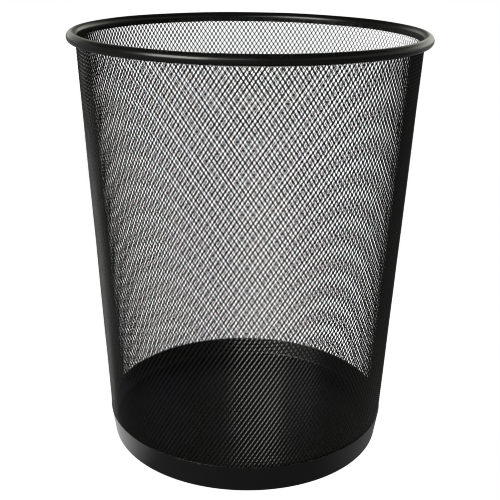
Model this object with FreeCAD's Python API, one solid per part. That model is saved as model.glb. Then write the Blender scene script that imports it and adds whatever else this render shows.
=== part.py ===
import FreeCAD, Part
import math
import os

# Round mesh wastebasket: a flared cone of expanded steel sheet, a rolled tube rim round
# its mouth, and a pressed floor pan held inside a plain hoop at its foot.
#
# Millimetres. +Z is up and is the basket's axis; the origin is the middle of the foot
# ring, on the surface that the basket stands on. Each sheet piece is a revolved strip.

# ---- driving dimensions ----
HEIGHT = 360.0
RIM_OUTER_DIAMETER = 296.5
RIM_TUBE_DIAMETER = 8.5
RIM_SHEET = 0.5
RIM_LIP_LENGTH = 4.2  # the flat inner lip, which lies along the mesh
RIM_CURL_END = 225.0  # degrees round the tube at which the curled sheet stops

MESH_DEPTH = 0.8  # across the tilted strands of the expanded sheet
MESH_FOOT_HEIGHT = 6.0
MESH_BEND_HEIGHT = 27.7  # where the wall leaves the foot's steeper taper
MESH_BEND_RADIUS = 123.11
MESH_TOP_HEIGHT = 356.0
MESH_TOP_RADIUS = 140.69
MESH_BEND_ROUNDING = 50.0

BAND_SHEET = 0.7
BAND_HEIGHT = 24.7
BAND_TOP_RADIUS = 123.8
BAND_TAPER = 0.15  # loss of radius per millimetre of drop
BAND_ROUNDING = 3.3
FOOT_RING_INNER_RADIUS = 113.0

PAN_SHEET = 0.7
FLOOR_HEIGHT = 9.5
PAN_ROUNDING = 3.0
NEST_GAP = 0.03  # between band and mesh, and between mesh and pan

RIM_WELD_WIDTH = 1.0
RIM_WELD_DIRECTION = 30.0  # degrees from +X, towards the back

SEAM_DIRECTION = 8.0  # degrees from +X; the wall's lap seam is at the right side
SEAM_WELD_DIAMETER = 2.6
SEAM_WELD_THICKNESS = 0.2
SEAM_WELD_PITCH = 18.0
SEAM_WELD_LOWEST = 56.0
SEAM_WELD_COUNT = 16

# ---- sizes that follow from them ----
TUBE_RADIUS = RIM_TUBE_DIAMETER / 2
RIM_RADIUS = RIM_OUTER_DIAMETER / 2 - TUBE_RADIUS
RIM_HEIGHT = HEIGHT - TUBE_RADIUS
WALL_TAPER = (MESH_TOP_RADIUS - MESH_BEND_RADIUS) / (MESH_TOP_HEIGHT - MESH_BEND_HEIGHT)

ORIGIN = FreeCAD.Vector(0, 0, 0)
UP = FreeCAD.Vector(0, 0, 1)
FULL_TURN = 360.0
LIP_ANGLE = 180.0 - math.degrees(math.atan(WALL_TAPER))  # where the lip leaves the rim tube
CURL_ANGLE = 45.0  # any angle on the part of the tube that the curl passes over


def at(radius, height):
    """A point of the half section, which lies in the XZ plane."""
    return FreeCAD.Vector(radius, 0, height)


def unit(vector):
    return vector * (1.0 / vector.Length)


def on_tube(radius, degrees):
    """A point on a circle round the rim tube's centre."""
    angle = math.radians(degrees)
    return at(RIM_RADIUS + radius * math.cos(angle), RIM_HEIGHT + radius * math.sin(angle))


def left_of(direction):
    return FreeCAD.Vector(-direction.z, 0, direction.x)


def beside(points, distance):
    """The path shifted sideways by a distance, its corners kept sharp."""
    directions = [unit(b - a) for a, b in zip(points, points[1:])]
    shifted = [points[0] + left_of(directions[0]) * distance]
    for corner, before, after in zip(points[1:-1], directions, directions[1:]):
        normal = unit(left_of(before) + left_of(after))
        shifted.append(corner + normal * (distance / normal.dot(left_of(before))))
    shifted.append(points[-1] + left_of(directions[-1]) * distance)
    return shifted


def turns_left(before, corner, after):
    return left_of(corner - before).dot(after - corner) > 0


def rounded_edges(points, roundings):
    """Edges along a path, each inner corner rounded with its own radius."""
    edges = []
    start = points[0]
    for before, corner, after, radius in zip(points, points[1:], points[2:], roundings):
        towards = unit(before - corner)
        away = unit(after - corner)
        half_angle = towards.getAngle(away) / 2
        reach = radius / math.tan(half_angle)
        first = corner + towards * reach
        last = corner + away * reach
        centre = corner + unit(towards + away) * (radius / math.sin(half_angle))
        middle = centre + unit(corner - centre) * radius
        edges.append(Part.makeLine(start, first))
        edges.append(Part.Arc(first, middle, last).toShape())
        start = last
    edges.append(Part.makeLine(start, points[-1]))
    return edges


def strip_face(points, roundings, sheet):
    """The section of a bent sheet whose middle follows the path."""
    left = beside(points, sheet / 2)
    right = beside(points, -sheet / 2)
    corners = list(zip(points, points[1:], points[2:]))
    signs = [1 if turns_left(*corner) else -1 for corner in corners]
    left_radii = [r - s * sheet / 2 for r, s in zip(roundings, signs)]
    right_radii = [r + s * sheet / 2 for r, s in zip(roundings, signs)]
    edges = rounded_edges(left, left_radii) + rounded_edges(right, right_radii)
    edges.append(Part.makeLine(left[0], right[0]))
    edges.append(Part.makeLine(left[-1], right[-1]))
    return Part.Face(Part.Wire(Part.__sortEdges__(edges)))


def turned(face, first_degrees=0.0, sweep=FULL_TURN):
    """The solid that a section sweeps round the basket's axis."""
    placed = face.copy()
    placed.rotate(ORIGIN, UP, first_degrees)
    return placed.revolve(ORIGIN, UP, sweep)


def band_middle(height, inset=0.0):
    """A point on the foot hoop's middle line, or on one parallel to it further in."""
    lean = math.hypot(1.0, BAND_TAPER)
    middle_top = BAND_TOP_RADIUS - BAND_SHEET / 2 * lean
    return at(middle_top - BAND_TAPER * (BAND_HEIGHT - height) - inset * lean, height)


def mesh_inset():
    return (BAND_SHEET + MESH_DEPTH) / 2 + NEST_GAP


def pan_inset():
    return mesh_inset() + (MESH_DEPTH + PAN_SHEET) / 2 + NEST_GAP


def curl(radius):
    """The long way round the tube, from the lip over the top to the curled end."""
    start, over, end = (on_tube(radius, angle) for angle in (LIP_ANGLE, CURL_ANGLE, RIM_CURL_END))
    return Part.Arc(start, over, end).toShape()


def rim_section():
    """A tube rolled from strip, open where the mesh goes in, with a flat inner lip."""
    hollow = TUBE_RADIUS - RIM_SHEET
    down_the_wall = unit(at(-WALL_TAPER, -1)) * RIM_LIP_LENGTH
    lip_inside = on_tube(TUBE_RADIUS, LIP_ANGLE) + down_the_wall
    lip_outside = on_tube(hollow, LIP_ANGLE) + down_the_wall
    edges = [
        curl(TUBE_RADIUS),
        Part.makeLine(on_tube(TUBE_RADIUS, RIM_CURL_END), on_tube(hollow, RIM_CURL_END)),
        curl(hollow),
        Part.makeLine(on_tube(hollow, LIP_ANGLE), lip_outside),
        Part.makeLine(lip_outside, lip_inside),
        Part.makeLine(lip_inside, on_tube(TUBE_RADIUS, LIP_ANGLE)),
    ]
    return Part.Face(Part.Wire(Part.__sortEdges__(edges)))


def wall_path():
    """The mesh wall's middle line: along the hoop, then up the flared cone."""
    return [
        band_middle(MESH_FOOT_HEIGHT, mesh_inset()),
        at(MESH_BEND_RADIUS, MESH_BEND_HEIGHT),
        at(MESH_TOP_RADIUS, MESH_TOP_HEIGHT),
    ]


def rim_weld_sweep():
    return math.degrees(RIM_WELD_WIDTH / RIM_RADIUS)


def rim_tube():
    weld = rim_weld_sweep()
    return turned(rim_section(), RIM_WELD_DIRECTION + weld / 2, FULL_TURN - weld)


def rim_weld():
    """The short welded length, ground flush, that closes the rolled rim into a ring."""
    weld = rim_weld_sweep()
    return turned(rim_section(), RIM_WELD_DIRECTION - weld / 2, weld)


def mesh_wall():
    """The expanded sheet as a plain thin shell, as deep as the strands stand."""
    return turned(strip_face(wall_path(), [MESH_BEND_ROUNDING], MESH_DEPTH))


def wall_outer_radius(height):
    lean = math.hypot(1.0, WALL_TAPER)
    middle = MESH_BEND_RADIUS + WALL_TAPER * (height - MESH_BEND_HEIGHT)
    return middle + MESH_DEPTH / 2 * lean


def seam_weld(height):
    """One flattened spot weld on the wall's outer face."""
    lean = math.hypot(1.0, WALL_TAPER)
    outward = FreeCAD.Vector(1.0 / lean, 0, -WALL_TAPER / lean)
    base = at(wall_outer_radius(height) + NEST_GAP, height)
    spot = Part.makeCylinder(SEAM_WELD_DIAMETER / 2, SEAM_WELD_THICKNESS, base, outward)
    spot.rotate(ORIGIN, UP, SEAM_DIRECTION)
    return spot


def seam_welds():
    heights = [SEAM_WELD_LOWEST + i * SEAM_WELD_PITCH for i in range(SEAM_WELD_COUNT)]
    return Part.makeCompound([seam_weld(height) for height in heights])


def base_band():
    """The plain hoop round the foot, its lower edge rolled in to the foot ring."""
    corner = band_middle(BAND_SHEET / 2)
    path = [
        band_middle(BAND_HEIGHT),
        corner,
        at(FOOT_RING_INNER_RADIUS, BAND_SHEET / 2),
    ]
    return turned(strip_face(path, [BAND_ROUNDING], BAND_SHEET))


def floor_pan():
    """The raised floor with its rim turned up inside the mesh."""
    middle = FLOOR_HEIGHT - PAN_SHEET / 2
    path = [
        band_middle(BAND_HEIGHT, pan_inset()),
        band_middle(middle, pan_inset()),
        at(0, middle),
    ]
    return turned(strip_face(path, [PAN_ROUNDING], PAN_SHEET))


NODES = {
    "rim_tube": rim_tube,
    "rim_weld": rim_weld,
    "mesh_wall": mesh_wall,
    "seam_welds": seam_welds,
    "base_band": base_band,
    "floor_pan": floor_pan,
}


def main():
    os.makedirs("parts", exist_ok=True)
    for name, build in NODES.items():
        build().exportStep(f"parts/{name}.step")


main()
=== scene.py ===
import math
from collections import namedtuple

import bmesh
import bpy
from bpy.props import FloatProperty, FloatVectorProperty, IntProperty, PointerProperty
from mathutils import Matrix, Vector


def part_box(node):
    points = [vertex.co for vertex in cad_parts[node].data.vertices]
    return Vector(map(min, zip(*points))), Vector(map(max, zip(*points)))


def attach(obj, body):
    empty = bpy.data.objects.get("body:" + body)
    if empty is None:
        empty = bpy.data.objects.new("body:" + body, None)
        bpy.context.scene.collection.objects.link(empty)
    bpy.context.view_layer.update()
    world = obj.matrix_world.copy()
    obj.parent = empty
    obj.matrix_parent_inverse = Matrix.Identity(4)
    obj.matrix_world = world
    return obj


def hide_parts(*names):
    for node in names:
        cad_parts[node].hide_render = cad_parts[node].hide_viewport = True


# Mesh wastebasket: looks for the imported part. Metres, +Z up, origin in the middle of the foot.

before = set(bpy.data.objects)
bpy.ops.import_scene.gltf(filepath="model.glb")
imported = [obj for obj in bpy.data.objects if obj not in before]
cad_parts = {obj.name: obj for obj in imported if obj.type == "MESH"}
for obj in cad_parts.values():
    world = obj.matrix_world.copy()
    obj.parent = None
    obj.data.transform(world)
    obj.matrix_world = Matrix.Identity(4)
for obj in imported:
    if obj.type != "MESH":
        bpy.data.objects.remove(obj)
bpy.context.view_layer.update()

bl_info = {
    "name": "Mesh wastebasket",
    "version": (1, 0, 0),
    "blender": (4, 5, 0),
    "location": "View3D > Sidebar > Basket",
    "description": "Builds an expanded-steel wastebasket around its packed frame",
    "category": "Add Mesh",
}

MM = 0.001
BODY = "root"
WEAR = "edge_wear"  # attribute: 1 on a sheet's cut or bent edges, 0 elsewhere

# Where the pieces lie. The radii and heights that are not here come from the frame.
MESH_DEPTH = 0.8 * MM  # across the tilted strands
NEST_GAP = 0.03 * MM
BEND_HEIGHT = 27.7 * MM  # where the wall leaves the foot's steeper taper
BEND_SOFTNESS = 0.25 * MM
LOWEST_STRAND = 7.0 * MM
MESH_TOP_INSIDE = 0.4 * MM  # between the top bonds and the mesh's top edge
FREE_FROM = 2 * MM  # the wall starts to wander this far above the hoop
FREE_AT = 60 * MM
FREE_BELOW_TOP = 50 * MM
MEAN_RADIUS = 130 * MM  # at which waviness and jitter have their stated size
JITTER = 0.05 * MM

SEAM_HEADING = math.radians(8)
LAP_CELLS = 3
LAP_ABOVE_HOOP = 3 * MM
LAP_BELOW_TOP = 8 * MM
SPOT_COUNT = 16
SPOT_RADIUS = 1.3 * MM
SPOT_HEIGHT = 0.3 * MM
SPOT_REACH = 1.55 * MESH_DEPTH  # from the wall's middle line out to a spot's middle

RIM_WELD_HEADING = math.radians(30)
RIM_TURNS = 720
RIM_EASE = 0.12 * MM
CURL_START, CURL_END = 180.0, -135.0  # degrees round the tube, over its top
LIP_ABOVE_TUBE_FOOT = 0.3 * MM
BEAD_WIDTH = 1.1 * MM
BEAD_HEIGHT = 0.09 * MM
RIM_RIPPLE = 0.05 * MM

SHEET_EASE = 0.16 * MM
STRAIGHT_EDGE = 0.8 * MM  # below a sheet's top edge, so that the edge keeps its direction
WORN_EDGE = 0.5 * MM
FOOT_CONTACT = 0.4 * MM  # the foot ring is half worn below this
FLOOR_RINGS = (90 * MM, 60 * MM, 30 * MM)  # extra rings that keep the floor's faces short
FOLD_STEPS = 14
SHARP_ANGLE = math.radians(50)

# The finish of each piece: its seed, roughness, depth of orange peel, wear along edges,
# scuffs, and dust as a multiple of the basket's.
Coat = namedtuple("Coat", "seed roughness peel edge scuffs dust")
COATS = {
    "mesh": Coat(seed=1.0, roughness=0.24, peel=0.02 * MM, edge=0.0, scuffs=0.15, dust=1.0),
    "seam": Coat(seed=2.0, roughness=0.27, peel=0.02 * MM, edge=0.0, scuffs=0.15, dust=1.0),
    "rim": Coat(seed=3.0, roughness=0.27, peel=0.02 * MM, edge=0.8, scuffs=0.06, dust=0.6),
    "hoop": Coat(seed=4.0, roughness=0.3, peel=0.02 * MM, edge=0.9, scuffs=0.03, dust=0.3),
    "floor": Coat(seed=5.0, roughness=0.33, peel=0.03 * MM, edge=0.5, scuffs=0.2, dust=1.6),
}
DEEP_COAT, PALE_COAT = 0.85, 1.2  # the coat's darkest and lightest patches, as multiples
ROUGHNESS_DRIFT = 0.025
DUST_ROUGHENS, WEAR_ROUGHENS = 0.4, 0.12
PEEL_STRENGTH = 0.6


def outer_radius(node):
    low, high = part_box(node)
    return (high[0] - low[0]) / 2


def low_height(node):
    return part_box(node)[0][2]


def high_height(node):
    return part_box(node)[1][2]


# ---------------------------------------------------------------- user settings

class BasketMeshSizes(bpy.types.PropertyGroup):
    """The expanded sheet of the wall."""

    cells_round: IntProperty(
        name="Diamonds round", description="Number of diamonds in one row", default=212, min=24)
    row_height: FloatProperty(
        name="Diamond height", description="Long way of one diamond", default=6.02 * MM,
        unit="LENGTH", precision=5)
    strand_width: FloatProperty(
        name="Strand width", description="Width of one strand across the sheet",
        default=0.8 * MM, unit="LENGTH", precision=5)
    sheet: FloatProperty(
        name="Sheet thickness", description="Thickness of the steel before expanding",
        default=0.3 * MM, unit="LENGTH", precision=5)
    bond: FloatProperty(
        name="Bond length", description="Length over which two strands stay joined",
        default=1.25 * MM, unit="LENGTH", precision=5)
    tilt: FloatProperty(
        name="Strand tilt", description="Lean of the strands out of the wall's surface",
        default=math.radians(29.5), subtype="ANGLE")
    wave: FloatProperty(
        name="Wall waviness", description="How far the wall wanders from a true cone",
        default=0.35 * MM, unit="LENGTH", precision=5)
    sectors: IntProperty(
        name="Sectors", description="Pieces that the wall is divided into", default=4, min=1)


class BasketSheetSizes(bpy.types.PropertyGroup):
    """The plain sheet pieces: rim, hoop and floor."""

    rim_sheet: FloatProperty(
        name="Rim strip", description="Thickness of the rolled strip", default=0.5 * MM,
        unit="LENGTH", precision=5)
    hoop_sheet: FloatProperty(
        name="Hoop sheet", description="Thickness of the foot hoop", default=0.7 * MM,
        unit="LENGTH", precision=5)
    pan_sheet: FloatProperty(
        name="Floor sheet", description="Thickness of the floor pan", default=0.7 * MM,
        unit="LENGTH", precision=5)
    hoop_taper: FloatProperty(
        name="Hoop taper", description="Loss of radius per unit of drop", default=0.15)
    hoop_rounding: FloatProperty(
        name="Hoop rounding", description="Middle radius of the rolled lower edge",
        default=3.3 * MM, unit="LENGTH", precision=5)
    foot_inner: FloatProperty(
        name="Foot ring inner radius", description="Where the foot ring ends",
        default=113.0 * MM, unit="LENGTH", precision=5)
    pan_rounding: FloatProperty(
        name="Floor rounding", description="Middle radius of the fold round the floor",
        default=3.0 * MM, unit="LENGTH", precision=5)
    turns: IntProperty(
        name="Steps round", description="Facets of each turned piece", default=320, min=32)


class BasketFinish(bpy.types.PropertyGroup):
    """The black powder coat."""

    coat: FloatVectorProperty(
        name="Coat colour", description="Colour of the powder coat", subtype="COLOR",
        size=3, min=0.0, max=1.0, default=(0.0042, 0.0047, 0.0045))
    worn: FloatVectorProperty(
        name="Worn colour", description="Colour where the coat is rubbed thin", subtype="COLOR",
        size=3, min=0.0, max=1.0, default=(0.045, 0.045, 0.043))
    dust: FloatVectorProperty(
        name="Dust colour", description="Colour of settled dust", subtype="COLOR",
        size=3, min=0.0, max=1.0, default=(0.12, 0.115, 0.105))
    dust_amount: FloatProperty(
        name="Dust", description="How much dust lies on upward faces", default=0.02,
        min=0.0, max=1.0, subtype="FACTOR")


# ---------------------------------------------------------------- node wiring

class Wiring:
    """Adds nodes to one tree and wires values or sockets into them."""

    def __init__(self, tree):
        self.tree = tree
        self.column = 0

    def feed(self, socket, value):
        if isinstance(value, bpy.types.NodeSocket):
            self.tree.links.new(value, socket)
        elif value is not None:
            socket.default_value = value

    def add(self, kind, inputs=(), **settings):
        node = self.tree.nodes.new(kind)
        node.location = (self.column * 170, 0)
        self.column += 1
        for key, value in settings.items():
            setattr(node, key, value)
        pairs = inputs.items() if isinstance(inputs, dict) else enumerate(inputs)
        for key, value in pairs:
            self.feed(node.inputs[key], value)
        return node

    def math(self, operation, *values):
        return self.add("ShaderNodeMath", values, operation=operation).outputs[0]

    def plus(self, *values):
        total = values[0]
        for value in values[1:]:
            total = self.math("ADD", total, value)
        return total

    def minus(self, first, second):
        return self.math("SUBTRACT", first, second)

    def times(self, *values):
        product = values[0]
        for value in values[1:]:
            product = self.math("MULTIPLY", product, value)
        return product

    def over(self, first, second):
        return self.math("DIVIDE", first, second)

    def apart(self, vector):
        return self.add("ShaderNodeSeparateXYZ", [vector]).outputs

    def together(self, x, y, z):
        return self.add("ShaderNodeCombineXYZ", [x, y, z]).outputs[0]

    def noise(self, vector, scale, detail, seed=0.0):
        node = self.add("ShaderNodeTexNoise", noise_dimensions="4D")
        self.feed(node.inputs["Vector"], vector)
        self.feed(node.inputs["W"], seed)
        self.feed(node.inputs["Scale"], scale)
        self.feed(node.inputs["Detail"], detail)
        return node.outputs[0]

    def ramp(self, value, low, high, to_low=0.0, to_high=1.0):
        node = self.add("ShaderNodeMapRange", interpolation_type="SMOOTHSTEP")
        for key, part in enumerate((value, low, high, to_low, to_high)):
            self.feed(node.inputs[key], part)
        return node.outputs[0]

    def colour_mix(self, factor, first, second):
        node = self.add("ShaderNodeMix", data_type="RGBA")
        self.feed(node.inputs[0], factor)
        self.feed(node.inputs[6], first)
        self.feed(node.inputs[7], second)
        return node.outputs[2]


def rgba(colour):
    return (*colour, 1.0)


def new_tree(name, kind, inputs, outputs):
    """A node group with named inputs and outputs: {name: (socket type, default)}."""
    tree = bpy.data.node_groups.new(name, kind)
    for label, (socket_type, default) in inputs.items():
        socket = tree.interface.new_socket(name=label, in_out="INPUT", socket_type=socket_type)
        if default is not None:
            socket.default_value = default
    for label, socket_type in outputs.items():
        tree.interface.new_socket(name=label, in_out="OUTPUT", socket_type=socket_type)
    wiring = Wiring(tree)
    given = wiring.add("NodeGroupInput").outputs
    result = tree.nodes.new("NodeGroupOutput")
    return tree, wiring, given, result


FLOAT = "NodeSocketFloat"
COUNT = "NodeSocketInt"
GEOMETRY = "NodeSocketGeometry"
MATERIAL = "NodeSocketMaterial"


# ---------------------------------------------------------------- shader groups

def coat_grain_group():
    """Orange peel of a sprayed powder coat: a height and a slow drift in gloss."""
    tree, wire, given, result = new_tree(
        "Powder grain", "ShaderNodeTree",
        {"Peel scale": (FLOAT, 900.0), "Speck scale": (FLOAT, 2600.0), "Seed": (FLOAT, 0.0)},
        {"Height": FLOAT, "Sheen drift": FLOAT})
    place = wire.add("ShaderNodeTexCoord").outputs["Object"]
    peel = wire.noise(place, given["Peel scale"], 2.0, given["Seed"])
    speck = wire.noise(place, given["Speck scale"], 1.0, given["Seed"])
    height = wire.plus(wire.times(peel, 0.75), wire.times(speck, 0.25))
    drift = wire.noise(place, 24.0, 3.0, given["Seed"])
    wire.feed(result.inputs["Height"], height)
    wire.feed(result.inputs["Sheen drift"], drift)
    return tree


def settled_dust_group():
    """Dust: a mask on faces that look up, broken up by noise."""
    tree, wire, given, result = new_tree(
        "Settled dust", "ShaderNodeTree",
        {"Amount": (FLOAT, 0.05), "Seed": (FLOAT, 0.0)}, {"Mask": FLOAT})
    place = wire.add("ShaderNodeTexCoord").outputs["Object"]
    facing = wire.apart(wire.add("ShaderNodeNewGeometry").outputs["Normal"])[2]
    up = wire.ramp(facing, 0.2, 0.95)
    patches = wire.ramp(wire.noise(place, 60.0, 4.0, given["Seed"]), 0.35, 0.7)
    fibres = wire.ramp(wire.noise(place, 700.0, 2.0, given["Seed"]), 0.62, 0.72)
    spread = wire.plus(wire.times(patches, 0.6), fibres)
    wire.feed(result.inputs["Mask"], wire.times(up, spread, given["Amount"]))
    return tree


def rubbed_edge_group():
    """Wear: a mask along sheet edges and in scattered fine scuffs."""
    tree, wire, given, result = new_tree(
        "Rubbed edges", "ShaderNodeTree",
        {"Edge": (FLOAT, 0.5), "Scuffs": (FLOAT, 0.1), "Seed": (FLOAT, 0.0)}, {"Mask": FLOAT})
    place = wire.add("ShaderNodeTexCoord").outputs["Object"]
    edge = wire.add("ShaderNodeAttribute", attribute_name=WEAR).outputs["Fac"]
    broken = wire.ramp(wire.noise(place, 220.0, 4.0, given["Seed"]), 0.42, 0.66)
    along = wire.times(edge, broken, given["Edge"])
    lines = wire.add("ShaderNodeMapping", {"Vector": place, "Scale": (1.0, 1.0, 9.0)}).outputs[0]
    scuff = wire.ramp(wire.noise(lines, 95.0, 5.0, given["Seed"]), 0.66, 0.74)
    mask = wire.math("MINIMUM", wire.plus(along, wire.times(scuff, given["Scuffs"])), 1.0)
    wire.feed(result.inputs["Mask"], mask)
    return tree


def shared_group(name, build):
    """The node group of this name, built the first time that it is asked for."""
    return bpy.data.node_groups.get(name) or build()


def surface_material(name):
    """A new material with one plain surface shader: the material, its wiring, the shader."""
    material = bpy.data.materials.new(name)
    material.use_nodes = True
    material.node_tree.nodes.clear()
    wire = Wiring(material.node_tree)
    shader = wire.add("ShaderNodeBsdfPrincipled")
    wire.add("ShaderNodeOutputMaterial", [shader.outputs[0]])
    return material, wire, shader


def powder_coat(piece, finish):
    """Black powder coat for one piece, with its own wear, dust and grain."""
    look = COATS[piece]
    material, wire, shader = surface_material(f"Black coat on {piece}")
    material.diffuse_color = rgba(finish.coat)
    grain = wire.add("ShaderNodeGroup", node_tree=shared_group("Powder grain", coat_grain_group))
    grain.inputs["Seed"].default_value = look.seed
    dusty = wire.add("ShaderNodeGroup", node_tree=shared_group("Settled dust", settled_dust_group))
    dusty.inputs["Amount"].default_value = finish.dust_amount * look.dust
    dusty.inputs["Seed"].default_value = look.seed
    rubbed = wire.add("ShaderNodeGroup", node_tree=shared_group("Rubbed edges", rubbed_edge_group))
    rubbed.inputs["Edge"].default_value = look.edge
    rubbed.inputs["Scuffs"].default_value = look.scuffs
    rubbed.inputs["Seed"].default_value = look.seed

    drift = grain.outputs["Sheen drift"]
    deep = tuple(DEEP_COAT * part for part in finish.coat)
    pale = tuple(PALE_COAT * part for part in finish.coat)
    coat = wire.colour_mix(drift, rgba(deep), rgba(pale))
    worn = wire.colour_mix(rubbed.outputs["Mask"], coat, rgba(finish.worn))
    dusted = wire.colour_mix(dusty.outputs["Mask"], worn, rgba(finish.dust))
    rough = wire.plus(wire.ramp(drift, 0.3, 0.7, look.roughness - ROUGHNESS_DRIFT,
                                look.roughness + ROUGHNESS_DRIFT),
                      wire.times(dusty.outputs["Mask"], DUST_ROUGHENS),
                      wire.times(rubbed.outputs["Mask"], WEAR_ROUGHENS))
    bump = wire.add("ShaderNodeBump", {"Strength": PEEL_STRENGTH, "Distance": look.peel,
                                       "Height": grain.outputs["Height"]})
    wire.feed(shader.inputs["Base Color"], dusted)
    wire.feed(shader.inputs["Roughness"], rough)
    wire.feed(shader.inputs["Normal"], bump.outputs[0])
    return material


# ---------------------------------------------------------------- mesh wall tree

def wall_line(wire, height, radius_here, height_here, taper):
    """The radius at a height, on a straight line through a known point."""
    return wire.plus(wire.times(wire.minus(height, height_here), taper), radius_here)


def expanded_mesh_tree():
    """Expanded sheet bent to a cone: zig-zag strands, joined side by side at each bond."""
    tree, wire, given, result = new_tree(
        "Expanded mesh", "GeometryNodeTree",
        {
            "Cells": (COUNT, 10), "First cell": (FLOAT, 0.0), "Cell angle": (FLOAT, 0.03),
            "Rows": (COUNT, 58), "Row height": (FLOAT, 6 * MM), "Lowest": (FLOAT, 7 * MM),
            "Strand width": (FLOAT, 0.5 * MM), "Sheet": (FLOAT, 0.4 * MM),
            "Bond": (FLOAT, MM), "Tilt": (FLOAT, 0.5), "Outward shift": (FLOAT, 0.0),
            "Foot radius": (FLOAT, 0.1), "Foot height": (FLOAT, 0.0), "Foot taper": (FLOAT, 0.1),
            "Wall radius": (FLOAT, 0.1), "Wall height": (FLOAT, 0.0), "Wall taper": (FLOAT, 0.1),
            "Bend softness": (FLOAT, MM), "Wave": (FLOAT, 0.0), "Jitter": (FLOAT, 0.0),
            "Seed": (FLOAT, 3.0), "Coat": (MATERIAL, None),
        },
        {"Geometry": GEOMETRY})

    # One square tube per strand, four rings to a row: the start and end of two bonds.
    segments = wire.minus(wire.times(given["Rows"], 4.0), 1.0)
    cylinder = wire.add("GeometryNodeMeshCylinder", fill_type="NGON")
    wire.feed(cylinder.inputs["Vertices"], 4)
    wire.feed(cylinder.inputs["Side Segments"], segments)
    wire.feed(cylinder.inputs["Radius"], 1.0)
    wire.feed(cylinder.inputs["Depth"], segments)
    both = wire.add("GeometryNodeJoinGeometry")
    for odd in (0.0, 1.0):
        marked = wire.add("GeometryNodeStoreNamedAttribute", data_type="FLOAT", domain="POINT")
        wire.feed(marked.inputs["Geometry"], cylinder.outputs["Mesh"])
        wire.feed(marked.inputs["Name"], "odd")
        wire.feed(marked.inputs["Value"], odd)
        tree.links.new(marked.outputs[0], both.inputs[0])

    odd_node = wire.add("GeometryNodeInputNamedAttribute", data_type="FLOAT")
    wire.feed(odd_node.inputs["Name"], "odd")
    odd = odd_node.outputs["Attribute"]
    x, y, z = wire.apart(wire.add("GeometryNodeInputPosition").outputs[0])
    across = wire.plus(x, y)
    through = wire.minus(x, y)
    ring = wire.math("ROUND", wire.plus(z, wire.over(segments, 2.0)))
    period = wire.math("FLOOR", wire.over(ring, 4.0))
    step = wire.minus(ring, wire.times(period, 4.0))
    half = wire.math("FLOOR", wire.over(step, 2.0))
    late = wire.minus(step, wire.times(half, 2.0))
    side = wire.math("ABSOLUTE", wire.minus(half, odd))

    rise = wire.plus(wire.times(wire.plus(period, wire.times(half, 0.5)), given["Row height"]),
                     wire.times(wire.minus(late, 0.5), given["Bond"]))
    height = wire.plus(given["Lowest"], rise)
    foot = wall_line(wire, height, given["Foot radius"], given["Foot height"], given["Foot taper"])
    wall = wall_line(wire, height, given["Wall radius"], given["Wall height"], given["Wall taper"])
    middle = wire.plus(wire.math("SMOOTH_MIN", foot, wall, given["Bend softness"]),
                       given["Outward shift"])

    # Turn the flat section by the tilt, and wrap it round the axis.
    along = wire.times(wire.plus(wire.minus(0.5, side), wire.times(across, 0.5)),
                       given["Strand width"])
    deep = wire.times(through, 0.5, given["Sheet"])
    cosine = wire.math("COSINE", given["Tilt"])
    sine = wire.math("SINE", given["Tilt"])
    sideways = wire.minus(wire.times(along, cosine), wire.times(deep, sine))
    outward = wire.plus(wire.times(along, sine), wire.times(deep, cosine))
    radius = wire.plus(middle, outward)
    turn = wire.plus(wire.times(wire.plus(odd, side), 0.5, given["Cell angle"]),
                     wire.over(sideways, radius))
    spot = wire.together(wire.times(radius, wire.math("COSINE", turn)),
                         wire.times(radius, wire.math("SINE", turn)),
                         wire.minus(height, wire.times(outward, given["Wall taper"])))
    strand = wire.add("GeometryNodeSetPosition",
                      {"Geometry": both.outputs[0], "Position": spot})
    plain = wire.add("GeometryNodeRemoveAttribute", {"Geometry": strand.outputs[0], "Name": "odd"})

    places = wire.add("GeometryNodeMeshLine")
    wire.feed(places.inputs["Count"], given["Cells"])
    wire.feed(places.inputs["Offset"], (0.0, 0.0, 0.0))
    number = wire.add("GeometryNodeInputIndex").outputs[0]
    heading = wire.times(wire.plus(number, given["First cell"]), given["Cell angle"])
    placed = wire.add("GeometryNodeInstanceOnPoints", {
        "Points": places.outputs[0], "Instance": plain.outputs[0],
        "Rotation": wire.together(0.0, 0.0, heading)})
    real = wire.add("GeometryNodeRealizeInstances", [placed.outputs[0]])

    # Let the wall wander a little where neither hoop nor rim holds it.
    point = wire.add("GeometryNodeInputPosition").outputs[0]
    px, py, pz = wire.apart(point)
    top = wire.plus(given["Lowest"], wire.times(given["Rows"], given["Row height"]))
    free = wire.times(wire.ramp(pz, wire.plus(given["Foot height"], FREE_FROM), FREE_AT),
                      wire.ramp(pz, top, wire.minus(top, FREE_BELOW_TOP)))
    slow = wire.minus(wire.noise(point, 14.0, 1.0, given["Seed"]), 0.5)
    quick_a = wire.minus(wire.noise(point, 170.0, 0.0, given["Seed"]), 0.5)
    quick_b = wire.minus(wire.noise(point, 170.0, 0.0, wire.plus(given["Seed"], 7.0)), 0.5)
    swell = wire.over(wire.times(slow, 2.0, given["Wave"], free), MEAN_RADIUS)
    twist = wire.over(wire.times(quick_a, 2.0, given["Jitter"], free), MEAN_RADIUS)
    drop = wire.times(quick_b, 2.0, given["Jitter"], free)
    shift = wire.together(wire.minus(wire.times(px, swell), wire.times(py, twist)),
                          wire.plus(wire.times(py, swell), wire.times(px, twist)), drop)
    moved = wire.add("GeometryNodeSetPosition", {"Geometry": real.outputs[0], "Offset": shift})
    coated = wire.add("GeometryNodeSetMaterial",
                      {"Geometry": moved.outputs[0], "Material": given["Coat"]})
    wire.feed(result.inputs["Geometry"], coated.outputs[0])
    return tree


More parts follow.
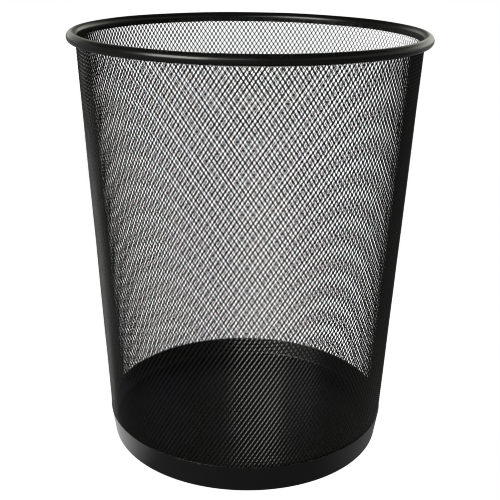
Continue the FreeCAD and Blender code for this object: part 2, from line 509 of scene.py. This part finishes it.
def weld_spot_tree():
    """Flattened weld spots in a straight row up the wall."""
    tree, wire, given, result = new_tree(
        "Weld spots", "GeometryNodeTree",
        {
            "Count": (COUNT, 16), "First": ("NodeSocketVector", (0.0, 0.0, 0.0)),
            "Step": ("NodeSocketVector", (0.0, 0.0, 0.01)), "Lean": (FLOAT, 0.0),
            "Heading": (FLOAT, 0.0), "Radius": (FLOAT, MM), "Height": (FLOAT, 0.2 * MM),
            "Seed": (COUNT, 5), "Coat": (MATERIAL, None),
        },
        {"Geometry": GEOMETRY})
    line = wire.add("GeometryNodeMeshLine")
    wire.feed(line.inputs["Count"], given["Count"])
    wire.feed(line.inputs["Start Location"], given["First"])
    wire.feed(line.inputs["Offset"], given["Step"])
    spot = wire.add("GeometryNodeMeshUVSphere")
    wire.feed(spot.inputs["Segments"], 14)
    wire.feed(spot.inputs["Rings"], 8)
    wire.feed(spot.inputs["Radius"], 1.0)
    size = wire.add("FunctionNodeRandomValue", data_type="FLOAT")
    wire.feed(size.inputs[2], 0.86)
    wire.feed(size.inputs[3], 1.12)
    wire.feed(size.inputs["Seed"], given["Seed"])
    reach = wire.times(given["Radius"], size.outputs[1])
    placed = wire.add("GeometryNodeInstanceOnPoints", {
        "Points": line.outputs[0], "Instance": spot.outputs[0],
        "Rotation": wire.together(0.0, wire.plus(math.pi / 2, given["Lean"]), given["Heading"]),
        "Scale": wire.together(reach, reach, given["Height"])})
    real = wire.add("GeometryNodeRealizeInstances", [placed.outputs[0]])
    smooth = wire.add("GeometryNodeSetShadeSmooth", {"Geometry": real.outputs[0]})
    coated = wire.add("GeometryNodeSetMaterial",
                      {"Geometry": smooth.outputs[0], "Material": given["Coat"]})
    wire.feed(result.inputs["Geometry"], coated.outputs[0])
    return tree


def grown(name, tree, values):
    """The plain mesh object that a Geometry Nodes tree makes from these inputs."""
    seedling = bpy.data.objects.new(name + ".source", bpy.data.meshes.new(name + ".source"))
    bpy.context.collection.objects.link(seedling)
    modifier = seedling.modifiers.new("Build", "NODES")
    modifier.node_group = tree
    for item in tree.interface.items_tree:
        if item.item_type == "SOCKET" and item.in_out == "INPUT" and item.name in values:
            modifier[item.identifier] = values[item.name]
    seedling.update_tag()
    bpy.context.view_layer.update()
    evaluated = seedling.evaluated_get(bpy.context.evaluated_depsgraph_get())
    mesh = bpy.data.meshes.new_from_object(evaluated)
    if not mesh.polygons:
        raise RuntimeError(f"{name}: the tree made no faces")
    mesh.name = name
    seedling.modifiers.remove(modifier)
    bpy.data.objects.remove(seedling)
    piece = bpy.data.objects.new(name, mesh)
    bpy.context.collection.objects.link(piece)
    return piece


# ---------------------------------------------------------------- turned pieces

def arc(centre, radius, first, last, steps):
    """Points on an arc of the half section, angles in degrees."""
    angles = [math.radians(first + (last - first) * i / steps) for i in range(steps + 1)]
    return [(centre[0] + radius * math.cos(a), centre[1] + radius * math.sin(a)) for a in angles]


def turned_mesh(name, section, steps, wear, material, dent=None):
    """A closed section of (radius, height) points swept once round the axis."""
    vertices = []
    for i in range(steps):
        angle = 2 * math.pi * i / steps
        for radius, height in section:
            extra = dent(angle, radius, height) if dent else (0.0, 0.0)
            r, z = radius + extra[0], height + extra[1]
            vertices.append((r * math.cos(angle), r * math.sin(angle), z))
    count = len(section)
    faces = []
    for i in range(steps):
        here, there = i * count, (i + 1) % steps * count
        for k in range(count):
            n = (k + 1) % count
            faces.append((here + k, there + k, there + n, here + n))
    mesh = bpy.data.meshes.new(name)
    mesh.from_pydata(vertices, [], faces)
    mark = mesh.attributes.new(WEAR, "FLOAT", "POINT")
    mark.data.foreach_set("value", [wear(r, z) for r, z in section] * steps)
    mesh.polygons.foreach_set("use_smooth", [True] * len(mesh.polygons))
    mesh.set_sharp_from_angle(angle=SHARP_ANGLE)
    mesh.materials.append(material)
    mesh.update()
    piece = bpy.data.objects.new(name, mesh)
    bpy.context.collection.objects.link(piece)
    return piece


def sizes_of(scene):
    return scene.basket_mesh, scene.basket_sheets, scene.basket_finish


# ---------------------------------------------------------------- sections of bent sheet

def along_path(points, roundings, steps):
    """Points along a path of (radius, height) corners, each corner rounded."""
    path = [Vector(point) for point in points]
    smooth = [path[0]]
    for before, corner, after, radius in zip(path, path[1:], path[2:], roundings):
        towards, away = (before - corner).normalized(), (after - corner).normalized()
        half_angle = towards.angle(away) / 2
        centre = corner + (towards + away).normalized() * (radius / math.sin(half_angle))
        reach = radius / math.tan(half_angle)
        first, last = corner + towards * reach - centre, corner + away * reach - centre
        turn = first.angle_signed(last)
        for i in range(steps + 1):
            arm = first.copy()
            arm.rotate(Matrix.Rotation(-turn * i / steps, 2))
            smooth.append(centre + arm)
    smooth.append(path[-1])
    return smooth


def beside(points, distance):
    """The same path moved sideways, to the left of its direction."""
    moved = []
    for i, point in enumerate(points):
        before = points[max(i - 1, 0)]
        after = points[min(i + 1, len(points) - 1)]
        direction = (after - before).normalized()
        moved.append(point + Vector((-direction.y, direction.x)) * distance)
    return moved


def eased_end(left, right, ease):
    """Four points that round the cut edge between the two faces of a sheet."""
    across = (right - left).normalized()
    back = Vector((across.y, -across.x)) * ease
    return [left - back, left + across * ease, right - across * ease, right - back]


def strip_section(path, sheet, ease, open_end=False):
    """Outline of a sheet whose middle follows the path, with eased cut edges."""
    left, right = beside(path, sheet / 2), beside(path, -sheet / 2)
    start = eased_end(right[0], left[0], ease)
    outline = start + left[1:-1]
    if open_end:
        outline += [left[-1], right[-1]]
    else:
        outline += eased_end(left[-1], right[-1], ease)
    outline += right[-2:0:-1]
    return upright([tuple(point) for point in outline])


def upright(section):
    """The outline in the order that makes the swept faces look outwards."""
    closed = section + section[:1]
    area = sum(a[0] * b[1] - b[0] * a[1] for a, b in zip(closed, closed[1:]))
    return section if area > 0 else section[::-1]


# ---------------------------------------------------------------- where the pieces lie

def hoop_middle(sheets, height, inset=0.0):
    """A point on the foot hoop's middle line, or on one parallel to it further in."""
    lean = math.hypot(1.0, sheets.hoop_taper)
    top_radius = outer_radius("base_band") - sheets.hoop_sheet / 2 * lean
    drop = high_height("base_band") - height
    return (top_radius - sheets.hoop_taper * drop - inset * lean, height)


def mesh_inset(sheets):
    return (sheets.hoop_sheet + MESH_DEPTH) / 2 + NEST_GAP


def pan_inset(sheets):
    return mesh_inset(sheets) + (MESH_DEPTH + sheets.pan_sheet) / 2 + NEST_GAP


def wall_lines(sheets):
    """The foot's steep taper and the flared cone above it, as values for the tree."""
    foot_radius, foot_height = hoop_middle(sheets, high_height("base_band"), mesh_inset(sheets))
    bend_radius = foot_radius + sheets.hoop_taper * (BEND_HEIGHT - foot_height)
    top_radius = outer_radius("mesh_wall") - MESH_DEPTH / 2
    taper = (top_radius - bend_radius) / (high_height("mesh_wall") - BEND_HEIGHT)
    return {
        "Foot radius": foot_radius, "Foot height": foot_height, "Foot taper": sheets.hoop_taper,
        "Wall radius": bend_radius, "Wall height": BEND_HEIGHT, "Wall taper": taper,
        "Bend softness": BEND_SOFTNESS,
    }


def strand_values(sizes, coat):
    """The values for the tree that the wall and its lap share."""
    return {
        "Cell angle": 2 * math.pi / sizes.cells_round, "Row height": sizes.row_height,
        "Strand width": sizes.strand_width, "Sheet": sizes.sheet, "Bond": sizes.bond,
        "Tilt": sizes.tilt, "Wave": sizes.wave, "Jitter": JITTER, "Coat": coat,
    }


def finish_piece(piece, slot, *nodes):
    """Says what a piece rides on, and hides the nodes that it stands for. The slot is not used."""
    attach(piece, BODY)
    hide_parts(*nodes)


class BASKET_OT_mesh_wall(bpy.types.Operator):
    """Build the expanded-steel wall, in sectors"""

    bl_idname = "basket.mesh_wall"
    bl_label = "Mesh wall"

    def execute(self, context):
        sizes, sheets, finish = sizes_of(context.scene)
        coat = powder_coat("mesh", finish)
        tree = shared_group("Expanded mesh", expanded_mesh_tree)
        top = high_height("mesh_wall") - MESH_TOP_INSIDE - sizes.bond / 2
        rows = int((top - LOWEST_STRAND) / sizes.row_height + 0.5)
        values = {**wall_lines(sheets), **strand_values(sizes, coat)}
        values.update({"Lowest": top - (rows - 0.5) * sizes.row_height, "Rows": rows})
        first = 0
        for sector in range(sizes.sectors):
            last = round(sizes.cells_round * (sector + 1) / sizes.sectors)
            values.update({"Cells": last - first, "First cell": float(first)})
            piece = grown(f"mesh_sector_{sector + 1}", tree, values)
            finish_piece(piece, "mesh", "mesh_wall")
            first = last
        return {"FINISHED"}


class BASKET_OT_seam(bpy.types.Operator):
    """Build the lap where the sheet's two ends meet, and its weld spots"""

    bl_idname = "basket.seam"
    bl_label = "Lap seam"

    def execute(self, context):
        sizes, sheets, finish = sizes_of(context.scene)
        coat = powder_coat("seam", finish)
        lines = wall_lines(sheets)
        values = {**lines, **strand_values(sizes, coat)}
        lowest = lines["Foot height"] + LAP_ABOVE_HOOP
        room = high_height("mesh_wall") - LAP_BELOW_TOP - lowest
        middle_cell = round(SEAM_HEADING / values["Cell angle"])
        values.update({
            "Lowest": lowest, "Rows": int(room / sizes.row_height), "Cells": LAP_CELLS,
            "First cell": middle_cell - LAP_CELLS / 2, "Outward shift": MESH_DEPTH,
        })
        lap = grown("mesh_lap", shared_group("Expanded mesh", expanded_mesh_tree), values)
        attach(lap, BODY)

        low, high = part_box("seam_welds")
        taper = lines["Wall taper"]
        start, end = low[2] + SPOT_RADIUS, high[2] - SPOT_RADIUS
        reach = (lines["Wall radius"] + taper * (start - lines["Wall height"]) + SPOT_REACH)
        step = (end - start) / (SPOT_COUNT - 1)
        outward = Vector((math.cos(SEAM_HEADING), math.sin(SEAM_HEADING), 0.0))
        spots = grown("seam_spots", weld_spot_tree(), {
            "Count": SPOT_COUNT, "First": outward * reach + Vector((0, 0, start)),
            "Step": outward * (step * taper) + Vector((0, 0, step)),
            "Lean": math.atan(taper), "Heading": SEAM_HEADING, "Radius": SPOT_RADIUS,
            "Height": SPOT_HEIGHT, "Coat": coat,
        })
        finish_piece(spots, "mesh", "seam_welds")
        return {"FINISHED"}


class BASKET_OT_rim(bpy.types.Operator):
    """Build the rolled rim tube with its lip and its welded joint"""

    bl_idname = "basket.rim"
    bl_label = "Rolled rim"

    def execute(self, context):
        _, sheets, finish = sizes_of(context.scene)
        coat = powder_coat("rim", finish)
        low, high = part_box("rim_tube")
        tube = (high[2] - low[2]) / 2
        centre = (outer_radius("rim_tube") - tube, high[2] - tube)
        hollow = tube - sheets.rim_sheet
        lip_foot = centre[1] - tube + LIP_ABOVE_TUBE_FOOT
        outside = arc(centre, tube, CURL_START, CURL_END, 52)
        inside = arc(centre, hollow, CURL_END, CURL_START, 36)
        lip_in, lip_out = centre[0] - tube, centre[0] - hollow
        section = ([(lip_in, lip_foot + RIM_EASE)] + outside + inside
                   + [(lip_out, lip_foot + RIM_EASE), (lip_out - RIM_EASE, lip_foot),
                      (lip_in + RIM_EASE, lip_foot)])
        curl_tip = outside[-1]

        def wear(radius, height):
            near_tip = math.dist((radius, height), curl_tip) < sheets.rim_sheet
            if near_tip or height < lip_foot + 2 * RIM_EASE:
                return 1.0
            return 0.12 if height > centre[1] + 0.6 * tube else 0.0

        def weld_bead(angle, radius, height):
            across = (angle - RIM_WELD_HEADING) * centre[0] / BEAD_WIDTH
            swell = BEAD_HEIGHT * math.exp(-across * across)
            arm = math.dist((radius, height), centre)
            ripple = RIM_RIPPLE * (math.sin(5 * angle + 1.0) + math.sin(11 * angle) - 2.0)
            return (swell * (radius - centre[0]) / arm,
                    swell * (height - centre[1]) / arm + ripple)

        piece = turned_mesh("rim_ring", upright(section), RIM_TURNS, wear, coat, weld_bead)
        finish_piece(piece, "rim", "rim_tube", "rim_weld")
        return {"FINISHED"}


class BASKET_OT_foot_hoop(bpy.types.Operator):
    """Build the plain hoop round the foot"""

    bl_idname = "basket.foot_hoop"
    bl_label = "Foot hoop"

    def execute(self, context):
        _, sheets, finish = sizes_of(context.scene)
        coat = powder_coat("hoop", finish)
        top = high_height("base_band")
        middle = sheets.hoop_sheet / 2
        corners = [hoop_middle(sheets, top), hoop_middle(sheets, middle),
                   (sheets.foot_inner, middle)]
        path = along_path(corners, [sheets.hoop_rounding], FOLD_STEPS)
        path.insert(1, Vector(hoop_middle(sheets, top - STRAIGHT_EDGE)))
        section = strip_section(path, sheets.hoop_sheet, SHEET_EASE)

        def wear(radius, height):
            if height > top - WORN_EDGE:
                return 1.0
            return 0.5 if height < FOOT_CONTACT else 0.0

        piece = turned_mesh("foot_hoop", section, sheets.turns, wear, coat)
        finish_piece(piece, "base", "base_band")
        return {"FINISHED"}


class BASKET_OT_floor_pan(bpy.types.Operator):
    """Build the pressed floor with its turned-up edge"""

    bl_idname = "basket.floor_pan"
    bl_label = "Floor pan"

    def execute(self, context):
        _, sheets, finish = sizes_of(context.scene)
        coat = powder_coat("floor", finish)
        top = high_height("floor_pan")
        middle = low_height("floor_pan") + sheets.pan_sheet / 2
        inset = pan_inset(sheets)
        corners = [hoop_middle(sheets, top, inset), hoop_middle(sheets, middle, inset),
                   (0.0, middle)]
        path = along_path(corners, [sheets.pan_rounding], FOLD_STEPS)
        path.insert(1, Vector(hoop_middle(sheets, top - STRAIGHT_EDGE, inset)))
        path[-1:-1] = [Vector((radius, middle)) for radius in FLOOR_RINGS]
        section = strip_section(path, sheets.pan_sheet, SHEET_EASE, open_end=True)

        def wear(radius, height):
            return 1.0 if height > top - WORN_EDGE else 0.0

        piece = turned_mesh("floor_plate", section, sheets.turns, wear, coat)
        close_poles(piece.data)
        finish_piece(piece, "base", "floor_pan")
        return {"FINISHED"}


def close_poles(mesh):
    """Merges the ring of points that lie together on the axis."""
    same_place = 0.001 * MM
    shape = bmesh.new()
    shape.from_mesh(mesh)
    bmesh.ops.remove_doubles(shape, verts=shape.verts, dist=same_place)
    bmesh.ops.dissolve_degenerate(shape, edges=shape.edges, dist=same_place)
    shape.to_mesh(mesh)
    shape.free()
    mesh.update()


# ---------------------------------------------------------------- stage

CAMERA_PLACE = (0.0, -0.7734, 0.4465)
CAMERA_DIP = 0.3413  # radians below level
CAMERA_ROLL = 0.0133
CAMERA_LENS = 66.89  # millimetres, on a sensor 36 mm wide
CAMERA_SHIFT = (0.0052, -0.0070)

LIT_MIDDLE = (0.0, 0.0, 0.25)  # what the softboxes point at
FLOOR_HALF_WIDTH = 20.0
PIXEL_FILTER_WIDTH = 1.0  # narrower than usual, for a crisp mesh


def studio_camera():
    """The camera in front of the basket, looking down into it."""
    data = bpy.data.cameras.new("Studio camera")
    data.sensor_width = 36.0
    data.lens = CAMERA_LENS
    data.shift_x, data.shift_y = CAMERA_SHIFT
    data.clip_start = 0.01
    data.clip_end = 100.0
    ahead = Vector((0.0, math.cos(CAMERA_DIP), -math.sin(CAMERA_DIP)))
    level = Vector((1.0, 0.0, 0.0))
    upward = level.cross(ahead)
    right = level * math.cos(CAMERA_ROLL) + upward * math.sin(CAMERA_ROLL)
    above = upward * math.cos(CAMERA_ROLL) - level * math.sin(CAMERA_ROLL)
    camera = bpy.data.objects.new("Studio camera", data)
    turn = Matrix((right, above, -ahead)).transposed().to_4x4()
    camera.matrix_world = Matrix.Translation(CAMERA_PLACE) @ turn
    bpy.context.collection.objects.link(camera)
    bpy.context.scene.camera = camera


def softbox(name, place, width, height, watts, colour=(1.0, 1.0, 1.0)):
    data = bpy.data.lights.new(name, "AREA")
    data.shape = "RECTANGLE"
    data.size, data.size_y = width, height
    data.energy = watts
    data.color = colour
    lamp = bpy.data.objects.new(name, data)
    aim = Vector(LIT_MIDDLE) - Vector(place)
    lamp.matrix_world = (Matrix.Translation(place)
                         @ aim.to_track_quat("-Z", "Y").to_matrix().to_4x4())
    bpy.context.collection.objects.link(lamp)


def studio_world():
    """White where the camera sees it. To the basket: bright low at the left and right behind
    it, with a faint glow from the right side, and dim elsewhere."""
    world = bpy.data.worlds.new("Studio surroundings")
    world.use_nodes = True
    world.node_tree.nodes.clear()
    wire = Wiring(world.node_tree)
    x, y, z = wire.apart(wire.add("ShaderNodeTexCoord").outputs["Generated"])
    left = wire.times(wire.ramp(x, -0.08, -0.26), wire.ramp(x, -0.8, -0.5), 0.7)
    right = wire.times(wire.ramp(x, 0.08, 0.24), wire.ramp(x, 0.9, 0.7), 1.2)
    low = wire.times(wire.ramp(z, 0.5, 0.2), wire.ramp(y, 0.0, 0.4))
    side = wire.times(wire.ramp(x, 0.1, 0.9), wire.ramp(z, 0.8, 0.3), 0.25)
    around = wire.ramp(z, 0.1, 0.5, 0.12, 0.03)
    glow = wire.plus(wire.times(wire.plus(left, right, 0.12), low), side, around)
    seen = wire.add("ShaderNodeLightPath").outputs["Is Camera Ray"]
    unseen = wire.minus(1.0, seen)
    tint = wire.together(1.0, 1.0, wire.minus(1.0, wire.times(unseen, 0.1)))
    strength = wire.plus(seen, wire.times(unseen, glow))
    light = wire.add("ShaderNodeBackground", {"Color": tint, "Strength": strength})
    wire.add("ShaderNodeOutputWorld", [light.outputs[0]])
    bpy.context.scene.world = world


def pale_floor():
    """White where the camera sees it. To the basket it glows with painted light: a painted pool of
    light just beside the hoop, mostly at the left, a glow at the left and right behind it, and dim
    elsewhere."""
    material, wire, shader = surface_material("Pale studio floor")
    seen = wire.add("ShaderNodeLightPath").outputs["Is Camera Ray"]
    pale = wire.minus(0.12, wire.times(seen, 0.1))
    wire.feed(shader.inputs["Base Color"], wire.together(pale, pale, pale))
    x, y, _ = wire.apart(wire.add("ShaderNodeTexCoord").outputs["Object"])
    reach = wire.math("SQRT", wire.plus(wire.times(x, x), wire.times(y, y)))
    heading = wire.over(x, reach)
    # Painted pool of light: the floor glows where the key would light it beside the hoop, strongly
    # at the left and faintly at the right, the painted shadow side.
    painted_pool_by_hoop = wire.plus(wire.times(wire.ramp(heading, -0.65, -1.0), 0.95),
                            wire.times(wire.ramp(heading, 0.5, 1.0), 0.16))
    near = wire.times(painted_pool_by_hoop, wire.ramp(reach, 0.2, 0.14))
    left = wire.times(wire.ramp(heading, -0.08, -0.26), 0.15)
    right = wire.times(wire.ramp(heading, 0.08, 0.24), 0.25)
    behind = wire.times(wire.plus(left, right), wire.ramp(y, 0.3, 1.2))
    lit = wire.plus(near, behind, 0.06)
    glow = wire.plus(seen, wire.times(wire.minus(1.0, seen), lit))
    shader.inputs["Roughness"].default_value = 0.9
    shader.inputs["Specular IOR Level"].default_value = 0.0
    shader.inputs["Emission Color"].default_value = (1.0, 1.0, 1.0, 1.0)
    wire.feed(shader.inputs["Emission Strength"], glow)
    half = FLOOR_HALF_WIDTH
    mesh = bpy.data.meshes.new("studio_floor")
    corners = [(-half, -half, 0), (half, -half, 0), (half, half, 0), (-half, half, 0)]
    mesh.from_pydata(corners, [], [(0, 1, 2, 3)])
    mesh.materials.append(material)
    floor = bpy.data.objects.new("studio_floor", mesh)
    bpy.context.collection.objects.link(floor)


class BASKET_OT_stage(bpy.types.Operator):
    """Set up the pale floor, the soft lights and the camera"""

    bl_idname = "basket.stage"
    bl_label = "Stage"

    def execute(self, context):
        context.scene.view_settings.view_transform = "Standard"
        studio_camera()
        studio_world()
        pale_floor()
        softbox("Key softbox", place=(-0.9, -0.99, 0.72), width=0.85, height=0.75,
                watts=18.0, colour=(1.0, 0.99, 0.95))
        softbox("Front softbox", place=(-0.25, -1.35, 0.75), width=0.55, height=0.3, watts=1.2)
        context.scene.cycles.filter_width = PIXEL_FILTER_WIDTH
        return {"FINISHED"}


class BASKET_PT_panel(bpy.types.Panel):
    """Sidebar panel with the basket's sizes and builders"""

    bl_idname = "BASKET_PT_panel"
    bl_label = "Mesh wastebasket"
    bl_space_type = "VIEW_3D"
    bl_region_type = "UI"
    bl_category = "Basket"

    def draw(self, context):
        for group in sizes_of(context.scene):
            box = self.layout.box()
            for name in group.bl_rna.properties.keys():
                if name not in ("rna_type", "name"):
                    box.prop(group, name)
        for operator in OPERATORS:
            self.layout.operator(operator.bl_idname)


OPERATORS = (BASKET_OT_stage, BASKET_OT_mesh_wall, BASKET_OT_seam, BASKET_OT_rim,
             BASKET_OT_foot_hoop, BASKET_OT_floor_pan)
CLASSES = (BasketMeshSizes, BasketSheetSizes, BasketFinish, *OPERATORS, BASKET_PT_panel)


def register():
    for cls in CLASSES:
        bpy.utils.register_class(cls)
    bpy.types.Scene.basket_mesh = PointerProperty(type=BasketMeshSizes)
    bpy.types.Scene.basket_sheets = PointerProperty(type=BasketSheetSizes)
    bpy.types.Scene.basket_finish = PointerProperty(type=BasketFinish)


def unregister():
    del bpy.types.Scene.basket_finish
    del bpy.types.Scene.basket_sheets
    del bpy.types.Scene.basket_mesh
    for cls in reversed(CLASSES):
        bpy.utils.unregister_class(cls)


def main():
    register()
    bpy.ops.basket.stage()
    bpy.ops.basket.mesh_wall()
    bpy.ops.basket.seam()
    bpy.ops.basket.rim()
    bpy.ops.basket.foot_hoop()
    bpy.ops.basket.floor_pan()


if __name__ == "__main__":
    main()
